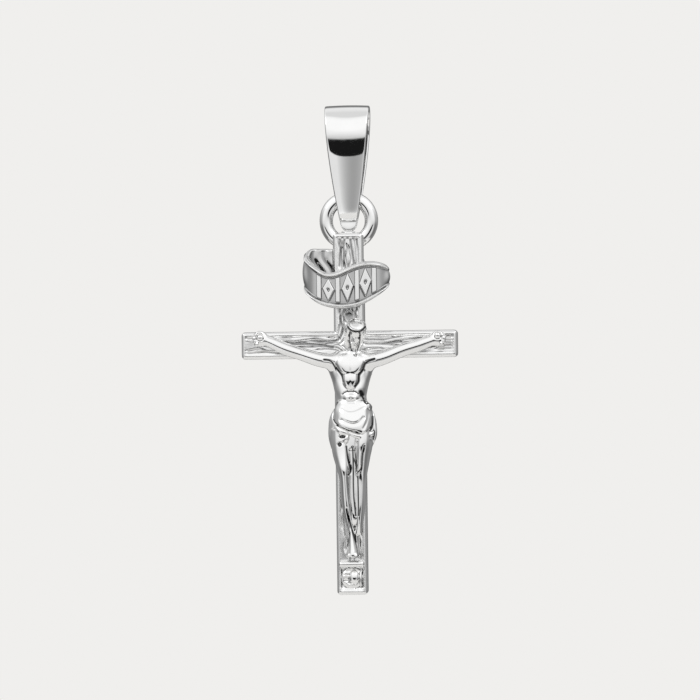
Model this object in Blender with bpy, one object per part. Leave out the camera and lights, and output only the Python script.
"""A small cast crucifix pendant, hung by a jump ring from a tapered bail.

Metres, +Z up. The front faces -Y. The origin is the chain's seat, at the inside top of the bail,
and the bail and the ring hang in the plane y = 0. The cross hangs in front of that plane, because
its eyelet is soldered to the back of the post.
"""
import math

import bmesh
import bpy
import numpy as np
from mathutils import Matrix, Vector

MM = 0.001
GAP = 0.02 * MM  # what separates two pieces that are soldered or seated together

# Bail: sheet metal bent into a teardrop loop, whose legs meet in a tail.
BAIL_SHEET = 0.40 * MM
BAIL_TOP_HALF_WIDTH = 1.70 * MM
BAIL_TAIL_Z = -9.20 * MM
BAIL_WIDEST_Z = -2.85 * MM
BAIL_HALF_DEPTH = 2.00 * MM
BAIL_TAIL_HALF_DEPTH = 0.45 * MM
BAIL_SEAT_R = 0.79 * MM
BAIL_SEAT_Z = -6.74 * MM

# Jump ring: a torus in the plane y = 0.
RING_R = 1.72 * MM
RING_WIRE_R = 0.51 * MM
RING_Z = -8.34 * MM

# Cross: one casting, a post and a beam with a flat back and a stepped seat behind the top.
POST_HALF_WIDTH = 1.155 * MM
POST_TOP_Z = -9.29 * MM
POST_BOTTOM_Z = -36.655 * MM
BEAM_Z = -17.745 * MM
BEAM_HALF_LENGTH = 8.18 * MM
BEAM_HALF_HEIGHT = 1.03 * MM
SEAT_Y = -0.75 * MM
FRONT_Y = -1.45 * MM
BACK_Y = 0.05 * MM
SEAT_STEP_Z = -11.30 * MM
RIM_BEVEL = 0.30 * MM

# Eyelet: a half-round staple soldered to the seat, round the ring's lowest point.
EYELET_R = 0.58 * MM
EYELET_WALL = 0.20 * MM
EYELET_HALF_WIDTH = 0.40 * MM
EYELET_SOFT_EDGE = 0.05 * MM

# Title scroll: a ribbon that leaves the post's left side, crosses in front and returns on the right.
SCROLL_SHEET = 0.34 * MM

# Nails: a domed head on the hand and a shank through it into the beam.
NAIL_X = 6.71 * MM
NAIL_Z = -17.12 * MM
NAIL_HEAD_R = 0.23 * MM
NAIL_SHANK_R = 0.09 * MM
NAIL_HOLE_R = 0.12 * MM
NAIL_TIP_Y = FRONT_Y + 0.60 * MM
HAND_FRONT_Y = FRONT_Y - 0.50 * MM

# Ledge under the feet, and the small panel relief below it.
LEDGE_TOP_Z = -34.04 * MM
LEDGE_HEIGHT = 0.50 * MM
LEDGE_HALF_WIDTH = 0.90 * MM
LEDGE_REACH = 0.75 * MM
PANEL_TOP_Z = -34.66 * MM
PANEL_BOTTOM_Z = -36.10 * MM
PANEL_HALF_WIDTH = 0.78 * MM
PANEL_DEPTH = 0.22 * MM


def material(name, colour, roughness):
    """A polished or grained silver finish."""
    made = bpy.data.materials.new(name)
    made.use_nodes = True
    shader = made.node_tree.nodes["Principled BSDF"]
    shader.inputs["Base Color"].default_value = (*colour, 1.0)
    shader.inputs["Roughness"].default_value = roughness
    shader.inputs["Metallic"].default_value = 1.0
    return made


def object_from(name, mesh, finish, at=(0, 0, 0)):
    """A mesh whose points are in world space becomes an object with its origin at the place given."""
    mesh.transform(Matrix.Translation(-Vector(at)))
    mesh.materials.clear()
    mesh.materials.append(finish)
    mesh.shade_smooth()
    mesh.set_sharp_from_angle(angle=math.radians(35))
    made = bpy.data.objects.new(name, mesh)
    made.location = at
    bpy.context.scene.collection.objects.link(made)
    return made


def mesh_from(bm):
    mesh = bpy.data.meshes.new("mesh")
    bmesh.ops.recalc_face_normals(bm, faces=bm.faces)
    bm.to_mesh(mesh)
    bm.free()
    return mesh


def loft(sections, closed=False):
    """Quads between equal loops of points, with flat ends unless the row of loops closes on itself."""
    bm = bmesh.new()
    loops = [[bm.verts.new(point) for point in section] for section in sections]
    pairs = list(zip(loops, loops[1:]))
    if closed:
        pairs.append((loops[-1], loops[0]))
    for one, two in pairs:
        for i in range(len(one)):
            j = (i + 1) % len(one)
            bm.faces.new((one[i], one[j], two[j], two[i]))
    if not closed:
        bm.faces.new(loops[0])
        bm.faces.new(loops[-1])
    return mesh_from(bm)


def box_mesh(low, high):
    low, high = Vector(low), Vector(high)
    bm = bmesh.new()
    size = Matrix.Diagonal((*(high - low), 1.0))
    bmesh.ops.create_cube(bm, size=1.0, matrix=Matrix.Translation((low + high) / 2) @ size)
    return mesh_from(bm)


def pin_mesh(centre, radius, y_from, y_to, sides=16):
    """A cylinder along Y."""
    x, z = centre
    turns = [2 * math.pi * i / sides for i in range(sides)]
    ring = [(x + radius * math.cos(t), z + radius * math.sin(t)) for t in turns]
    return loft([[(px, y, pz) for px, pz in ring] for y in (y_from, y_to)])


def cut(target, mesh, name, operation="DIFFERENCE"):
    """Take a hidden guide shape away from the target, or join it on."""
    guide = bpy.data.objects.new(name, mesh)
    guide.hide_render = True
    guide.display_type = "WIRE"
    guide.parent = target.parent
    bpy.context.scene.collection.objects.link(guide)
    boolean = target.modifiers.new(name, "BOOLEAN")
    boolean.object = guide
    boolean.operation = operation
    boolean.solver = "EXACT"


def bail_outer_half_depth(z):
    """Half the bail's depth below its widest point: full, then narrowing almost straight to the tail."""
    down = (BAIL_WIDEST_Z - z) / (BAIL_WIDEST_Z - BAIL_TAIL_Z)
    return BAIL_HALF_DEPTH - (BAIL_HALF_DEPTH - BAIL_TAIL_HALF_DEPTH) * down**1.3


def bail_half_width(z):
    """Half the strip's width, which tapers faster towards the tail."""
    down = (BAIL_SHEET - z) / (BAIL_SHEET - BAIL_TAIL_Z)
    return BAIL_TOP_HALF_WIDTH - (0.45 * down + 0.75 * down**2) * MM


def rounded_rectangle(half_x, half_y, corner, steps=3):
    """Points round a rectangle with arcs for corners, in the plane of x and y."""
    corner = min(corner, half_x, half_y)
    points = []
    for quarter, (sx, sy) in enumerate(((1, 1), (-1, 1), (-1, -1), (1, -1))):
        for step in range(steps + 1):
            turn = math.pi / 2 * (quarter + step / steps)
            x = sx * (half_x - corner) + corner * math.cos(turn)
            y = sy * (half_y - corner) + corner * math.sin(turn)
            points.append((x, y))
    return points


def make_bail(finish):
    """Level sections of the whole teardrop, less the loop's opening."""
    sections = []
    top_rise = BAIL_SHEET - BAIL_WIDEST_Z
    for step in range(1, 12):
        turn = math.pi / 2 * (1 - step / 12) + 0.02
        half_depth = BAIL_HALF_DEPTH * math.cos(turn)
        z = BAIL_WIDEST_Z + top_rise * math.sin(turn)
        sections.append((z, bail_half_width(z), half_depth))
    for z in np.linspace(BAIL_WIDEST_Z, BAIL_TAIL_Z + 0.30 * MM, 18):
        sections.append((z, bail_half_width(z), bail_outer_half_depth(z)))
    for step in (1, 2, 3):
        turn = math.pi / 2 * step / 3.3
        z = BAIL_TAIL_Z + 0.30 * MM * (1 - math.sin(turn))
        half_width = bail_half_width(z) - 0.30 * MM * (1 - math.cos(turn))
        sections.append((z, half_width, BAIL_TAIL_HALF_DEPTH * (0.55 + 0.45 * math.cos(turn))))
    loops = []
    for z, half_width, half_depth in sections:
        outline = rounded_rectangle(half_width, half_depth, 0.12 * MM)
        loops.append([(x, y, z) for x, y in outline])
    bail = object_from("bail", loft(loops), finish)
    opening = []
    for step in range(1, 13):
        turn = math.pi / 2 * (1 - step / 12)
        y = (BAIL_HALF_DEPTH - BAIL_SHEET) * math.cos(turn)
        opening.append((y, BAIL_WIDEST_Z * (1 - math.sin(turn))))
    for z in np.linspace(BAIL_WIDEST_Z, BAIL_SEAT_Z, 10)[1:]:
        opening.append((bail_outer_half_depth(z) - BAIL_SHEET, z))
    for step in range(1, 8):
        turn = math.pi / 2 * step / 8
        y = BAIL_SEAT_R * math.cos(turn)
        opening.append((y, BAIL_SEAT_Z - BAIL_SEAT_R * math.sin(turn)))
    outline = opening + [(0.0, BAIL_SEAT_Z - BAIL_SEAT_R)]
    outline += [(-y, z) for y, z in reversed(opening)] + [(0.0, 0.0)]
    reach = BAIL_TOP_HALF_WIDTH * 1.5
    cutter = loft([[(x, y, z) for y, z in outline] for x in (-reach, reach)])
    cut(bail, cutter, "bail_opening_guide")
    return bail


def make_jump_ring(finish):
    """A torus, with its origin where its top hangs in the bail."""
    loops = []
    for step in range(44):
        turn = 2 * math.pi * step / 44
        loop = []
        for side in range(16):
            about = 2 * math.pi * side / 16
            reach = RING_R + RING_WIRE_R * math.cos(about)
            point = (reach * math.sin(turn), RING_WIRE_R * math.sin(about), RING_Z + reach * math.cos(turn))
            loop.append(point)
        loops.append(loop)
    return object_from("jump_ring", loft(loops, closed=True), finish, at=(0, 0, RING_Z + RING_R))


def make_cross(finish):
    """The Latin outline carried from front to back, rimmed in front, stepped behind the top."""
    w, h, reach = POST_HALF_WIDTH, BEAM_HALF_HEIGHT, BEAM_HALF_LENGTH
    right = [(w, POST_TOP_Z), (w, BEAM_Z + h), (reach, BEAM_Z + h)]
    right += [(reach, BEAM_Z - h), (w, BEAM_Z - h), (w, POST_BOTTOM_Z)]
    outline = right + [(-x, z) for x, z in reversed(right)]
    mesh = loft([[(x, y, z) for x, z in outline] for y in (FRONT_Y, BACK_Y)])
    bm = bmesh.new()
    bm.from_mesh(mesh)
    front = [e for e in bm.edges if all(v.co.y < FRONT_Y + GAP for v in e.verts)]
    bmesh.ops.bevel(bm, geom=front, offset=RIM_BEVEL, segments=3, profile=0.5, affect="EDGES",
                    clamp_overlap=True)
    cross = object_from("cross", mesh_from(bm), finish)
    far = 3 * POST_HALF_WIDTH
    cut(cross, box_mesh((-far, SEAT_Y, SEAT_STEP_Z), (far, 5 * MM, POST_TOP_Z + 1 * MM)),
        "cross_seat_guide")
    for side in (-1, 1):
        hole = pin_mesh((side * NAIL_X, NAIL_Z), NAIL_HOLE_R, FRONT_Y - 1 * MM, NAIL_TIP_Y + GAP, 12)
        cut(cross, hole, f"cross_nail_hole_guide_{side}")
    return cross


def make_eyelet(finish):
    """A half-round staple: two legs forward to the seat and a round back, open towards the post."""
    z_mid = RING_Z - RING_R

    def arch(radius):
        line = [(SEAT_Y + GAP, z_mid + radius)]
        for step in range(17):
            turn = math.pi / 2 - math.pi * step / 16
            line.append((radius * math.cos(turn), z_mid + radius * math.sin(turn)))
        return line + [(SEAT_Y + GAP, z_mid - radius)]

    half = EYELET_HALF_WIDTH
    soft = EYELET_SOFT_EDGE
    sections = []
    for x, wall in ((-half, EYELET_WALL - soft), (soft - half, EYELET_WALL),
                    (half - soft, EYELET_WALL), (half, EYELET_WALL - soft)):
        outline = arch(EYELET_R + wall) + arch(EYELET_R)[::-1]
        sections.append([(x, y, z) for y, z in outline])
    return object_from("hanger_eyelet", loft(sections), finish, at=(0, 0, z_mid))


def smooth_through(points, count):
    """Catmull-Rom: a smooth curve through the points, at evenly spaced parameters."""
    points = np.array(points, float)
    padded = np.vstack([2 * points[0] - points[1], points, 2 * points[-1] - points[-2]])
    u = np.linspace(0, len(points) - 1, count)
    i = np.minimum(u.astype(int), len(points) - 2)
    t = (u - i)[:, None]
    a, b, c, d = padded[i], padded[i + 1], padded[i + 2], padded[i + 3]
    return 0.5 * (2 * b + (c - a) * t + (2 * a - 5 * b + 4 * c - d) * t**2 + (3 * b - a - 3 * c + d) * t**3)


def make_scroll(finish):
    """The ribbon: a thick-edged upright band, carried along a loop round the front of the post.

    Each row is a place on the band's middle (x, y) and the band's top and bottom there, in mm.
    """
    side = POST_HALF_WIDTH / MM + 0.03
    stations = (
        (-side, -0.62, -10.50, -12.90),
        (-2.20, -0.60, -10.45, -12.90),
        (-2.95, -0.75, -10.46, -13.10),
        (-3.13, -1.20, -10.80, -13.60),
        (-2.75, -1.75, -11.45, -14.25),
        (-1.80, -2.10, -12.20, -14.80),
        (-0.60, -2.25, -12.15, -15.05),
        (0.60, -2.25, -11.62, -14.92),
        (1.70, -2.10, -11.48, -14.42),
        (2.50, -1.72, -11.62, -13.80),
        (2.80, -1.22, -12.00, -13.30),
        (2.50, -0.80, -12.10, -13.25),
        (side, -0.66, -12.10, -13.25),
    )
    line = smooth_through(stations, 56) * MM
    ahead = np.gradient(line[:, :2], axis=0)
    ahead /= np.linalg.norm(ahead, axis=1)[:, None]
    ahead[0] = (-1, 0)
    ahead[-1] = (-1, 0)
    out = np.stack([ahead[:, 1], -ahead[:, 0]], axis=1)
    sections = []
    for (x, y, top, bottom), (ox, oy) in zip(line, out):
        outline = rounded_rectangle(SCROLL_SHEET / 2, (top - bottom) / 2, 0.15 * MM, 2)
        middle = (top + bottom) / 2
        sections.append([(x + ox * a, y + oy * a, middle + b) for a, b in outline])
    return object_from("title_scroll", loft(sections), finish)


def bead(bm, centre, radii):
    """One ellipsoid of the figure, in mm, its depth counted forward from the front of the cross."""
    x, forward, z = centre
    place = Matrix.Translation(Vector((x * MM, FRONT_Y - forward * MM, z * MM)))
    stretch = Matrix.Diagonal(Vector([r * MM for r in radii] + [1.0]))
    bmesh.ops.create_icosphere(bm, subdivisions=3, radius=1.0, matrix=place @ stretch)


def limb(bm, joints, beads_each=9):
    """Beads along a limb; each joint gives a centre and a radius."""
    for start, end in zip(joints, joints[1:]):
        for step in np.linspace(0, 1, beads_each):
            x, forward, z, radius = (1 - step) * np.array(start) + step * np.array(end)
            bead(bm, (x, forward, z), (radius, radius, radius))


def make_corpus(finish):
    """The figure as one plain united body: trunk, cloth, head, arms, legs and crossed feet."""
    bm = bmesh.new()
    bead(bm, (0.07, 0.50, -19.35), (1.62, 0.85, 1.30))
    bead(bm, (0.12, 0.45, -20.80), (1.15, 0.70, 1.50))
    bead(bm, (0.20, 0.50, -22.60), (1.40, 0.80, 1.30))
    bead(bm, (0.24, 0.50, -23.75), (1.85, 0.92, 1.35))
    bead(bm, (0.58, 1.00, -17.35), (0.74, 0.78, 1.06))
    limb(bm, ((0.15, 0.70, -18.60, 0.55), (0.45, 0.95, -17.90, 0.55)), 5)
    limb(bm, ((-1.30, 0.45, -18.90, 0.68), (-3.00, 0.35, -18.55, 0.60), (-5.10, 0.25, -17.80, 0.48),
              (-6.30, 0.15, -17.27, 0.38)))
    limb(bm, ((1.55, 0.45, -18.90, 0.68), (3.10, 0.35, -18.50, 0.62), (5.20, 0.25, -17.90, 0.48),
              (6.40, 0.15, -17.32, 0.38)))
    bead(bm, (-6.75, 0.10, -17.25), (0.60, 0.45, 0.56))
    bead(bm, (6.85, 0.10, -17.28), (0.65, 0.45, 0.58))
    limb(bm, ((-0.45, 0.55, -24.60, 0.80), (-0.42, 0.85, -27.00, 0.60), (-0.30, 0.45, -28.20, 0.50),
              (-0.05, 0.38, -31.60, 0.36)), 12)
    limb(bm, ((0.95, 0.55, -24.60, 0.80), (0.75, 0.85, -26.90, 0.60), (0.72, 0.45, -28.20, 0.50),
              (0.38, 0.38, -31.50, 0.36)), 12)
    limb(bm, ((0.15, 0.40, -31.60, 0.38), (0.20, 0.50, -32.80, 0.46), (0.25, 0.62, -33.50, 0.48)), 9)
    corpus = object_from("corpus", mesh_from(bm), finish)
    joined = corpus.modifiers.new("joined", "REMESH")
    joined.mode = "VOXEL"
    joined.voxel_size = 0.12 * MM
    joined.use_smooth_shade = True
    fair = corpus.modifiers.new("fair", "SMOOTH")
    fair.factor = 0.5
    fair.iterations = 4
    lighter = corpus.modifiers.new("lighter", "DECIMATE")
    lighter.ratio = 0.15
    wide = BEAM_HALF_LENGTH * 2
    back = box_mesh((-wide, FRONT_Y - GAP, POST_BOTTOM_Z), (wide, FRONT_Y + 5 * MM, 0))
    cut(corpus, back, "corpus_back_guide")
    for side in (-1, 1):
        hole = pin_mesh((side * NAIL_X, NAIL_Z), NAIL_HOLE_R, FRONT_Y - 2 * MM, FRONT_Y + 1 * MM, 12)
        cut(corpus, hole, f"corpus_nail_hole_guide_{side}")
    return corpus


def make_nail(name, x, finish):
    """A turned profile: shank, flat underside and domed head, on an axis along Y."""
    profile = [(NAIL_SHANK_R, NAIL_TIP_Y), (NAIL_SHANK_R, HAND_FRONT_Y), (NAIL_HEAD_R, HAND_FRONT_Y)]
    for step in range(1, 4):
        turn = math.pi / 2 * step / 4
        profile.append((NAIL_HEAD_R * math.cos(turn), HAND_FRONT_Y - 0.14 * MM * math.sin(turn)))
    turns = [2 * math.pi * i / 12 for i in range(12)]
    loops = [[(x + r * math.cos(t), y, NAIL_Z + r * math.sin(t)) for t in turns] for r, y in profile]
    return object_from(name, loft(loops), finish)


def make_foot_ledge(finish):
    """A wedge under the feet, deeper at its top edge."""
    low = LEDGE_TOP_Z - LEDGE_HEIGHT
    profile = [(FRONT_Y - GAP, LEDGE_TOP_Z), (FRONT_Y - LEDGE_REACH, LEDGE_TOP_Z - 0.10 * MM)]
    profile += [(FRONT_Y - LEDGE_REACH + 0.05 * MM, low + 0.15 * MM), (FRONT_Y - GAP, low)]
    half = LEDGE_HALF_WIDTH
    sections = [[(x, y, z) for y, z in profile] for x in (-half, half)]
    return object_from("foot_ledge", loft(sections), finish)


def make_panel_relief(finish):
    """A thin plate with a low dome in its middle."""
    front = FRONT_Y - GAP - PANEL_DEPTH
    plate = box_mesh((-PANEL_HALF_WIDTH, front, PANEL_BOTTOM_Z), (PANEL_HALF_WIDTH, FRONT_Y - GAP, PANEL_TOP_Z))
    relief = object_from("panel_relief", plate, finish)
    bm = bmesh.new()
    middle = Vector((0, front, (PANEL_TOP_Z + PANEL_BOTTOM_Z) / 2))
    stretch = Matrix.Diagonal((0.50 * MM, 0.20 * MM, 0.50 * MM, 1.0))
    bmesh.ops.create_icosphere(bm, subdivisions=2, radius=1.0, matrix=Matrix.Translation(middle) @ stretch)
    cut(relief, mesh_from(bm), "panel_dome_guide", "UNION")
    return relief


def main():
    for old in list(bpy.data.objects):
        bpy.data.objects.remove(old)
    bright = material("polished_silver", (0.93, 0.93, 0.92), 0.06)
    grained = material("grained_silver", (0.88, 0.88, 0.87), 0.16)
    matt = material("scroll_silver", (0.90, 0.90, 0.89), 0.12)
    figure = material("figure_silver", (0.93, 0.93, 0.92), 0.08)
    make_bail(bright)
    make_jump_ring(bright)
    make_cross(grained)
    make_eyelet(bright)
    make_scroll(matt)
    make_corpus(figure)
    make_nail("hand_nail_left", -NAIL_X, bright)
    make_nail("hand_nail_right", NAIL_X, bright)
    make_foot_ledge(grained)
    make_panel_relief(grained)


main()
